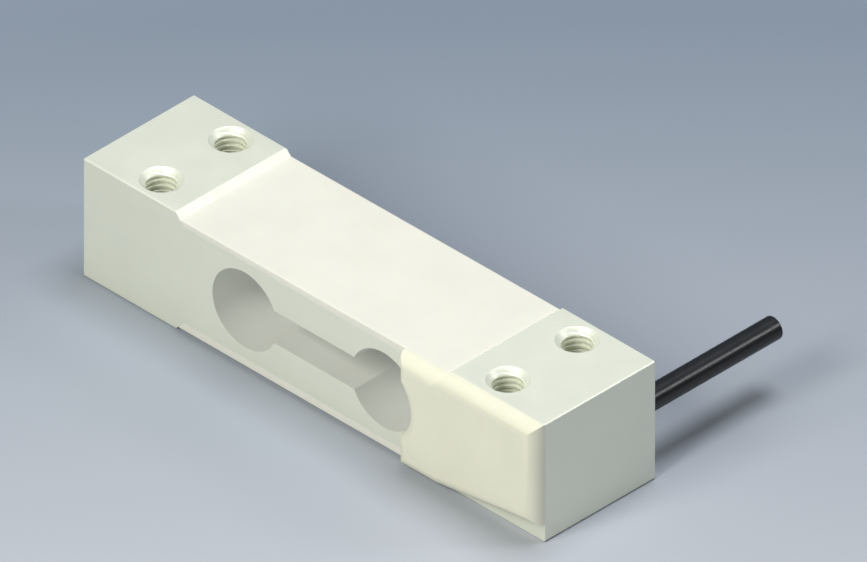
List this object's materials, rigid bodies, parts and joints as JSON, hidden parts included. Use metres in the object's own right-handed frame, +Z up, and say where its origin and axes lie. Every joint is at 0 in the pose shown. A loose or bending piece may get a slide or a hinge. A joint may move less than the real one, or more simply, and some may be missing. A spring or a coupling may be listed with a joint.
{
  "type": "single-point load cell",
  "caption": "Small platform load cell: an aluminium beam with a two-bore spring section, white silicone seals, tapped mounting holes and a short cable.",
  "frame": {"origin": "on the underside of the fixed-end pad, midway between its two tapped holes", "axes": "+X along the beam towards the fixed end, where the cable leaves; +Y towards the back face that the cable leaves; +Z up, out of the load-end holes"},
  "size_m": [0.1, 0.0565, 0.022],
  "materials": {
    "beam_aluminium": "fine milled, clear anodised",
    "recess_silicone": "matt white silicone",
    "side_silicone": "matt ivory silicone",
    "ring_rubber": "matt white silicone",
    "potting_resin": "cured potting resin",
    "gauge_foil": "amber film with etched foil",
    "lead_copper": "enamelled copper wire",
    "solder": "bright solder",
    "board_laminate": "green circuit board",
    "resistor_ceramic": "chip resistor",
    "jacket_black": "smooth black jacket",
    "shield_braid": "tinned copper braid",
    "insulation_red": "coloured insulation",
    "insulation_black": "coloured insulation",
    "insulation_green": "coloured insulation",
    "insulation_white": "coloured insulation",
    "core_copper": "stranded copper",
    "drain_tinned": "tinned copper wire"
  },
  "bodies": {
    "root": {"load_beam": "beam_aluminium", "top_seal": "recess_silicone", "bottom_seal": "recess_silicone", "side_seal": "side_silicone", "cable_seal": "ring_rubber", "cable_potting": "potting_resin", "gauge_top_load": "gauge_foil", "gauge_top_fixed": "gauge_foil", "gauge_bottom_load": "gauge_foil", "gauge_bottom_fixed": "gauge_foil", "leads_top_load": "lead_copper", "leads_top_fixed": "lead_copper", "leads_bottom_load": "lead_copper", "leads_bottom_fixed": "lead_copper", "gauge_solder": "solder", "board_solder": "solder", "compensation_board": "board_laminate", "span_resistor_plus": "resistor_ceramic", "span_resistor_minus": "resistor_ceramic", "zero_resistor": "resistor_ceramic", "input_resistor": "resistor_ceramic", "cable_jacket": "jacket_black", "cable_shield": "shield_braid", "insulation_red": "insulation_red", "insulation_black": "insulation_black", "insulation_green": "insulation_green", "insulation_white": "insulation_white", "core_red": "core_copper", "core_black": "core_copper", "core_green": "core_copper", "core_white": "core_copper", "drain_wire": "drain_tinned"}
  },
  "joints": []
}
